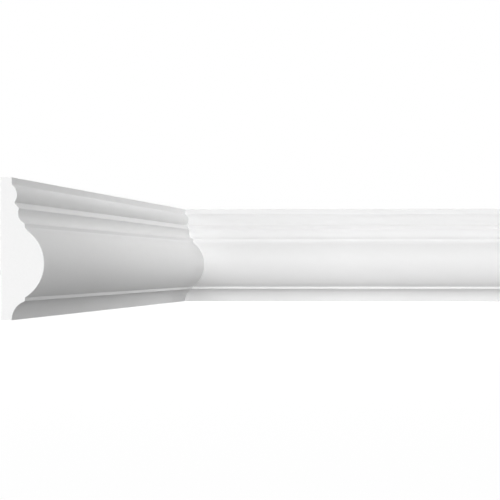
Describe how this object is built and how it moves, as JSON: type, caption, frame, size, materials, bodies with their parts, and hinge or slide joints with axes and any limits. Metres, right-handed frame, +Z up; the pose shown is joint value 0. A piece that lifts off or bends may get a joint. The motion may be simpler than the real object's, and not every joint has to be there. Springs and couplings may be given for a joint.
{
  "type": "wall moulding",
  "caption": "White primed wall moulding with a bead, scotia, broad torus and foot cove, mitred to turn an inside wall corner; trims a wall as a dado or frieze rail.",
  "frame": {"origin": "the inside wall corner, at the level of the moulding's bottom edge", "axes": "+X along the right length from the corner, -Y along the left length from the corner, +Z up; the room is on the +X and -Y side"},
  "size_m": [2, 1, 0.08],
  "materials": {
    "primed_polyurethane": "white primer coat, matt"
  },
  "bodies": {
    "root": {"left_length": "primed_polyurethane", "right_length": "primed_polyurethane"}
  },
  "joints": []
}
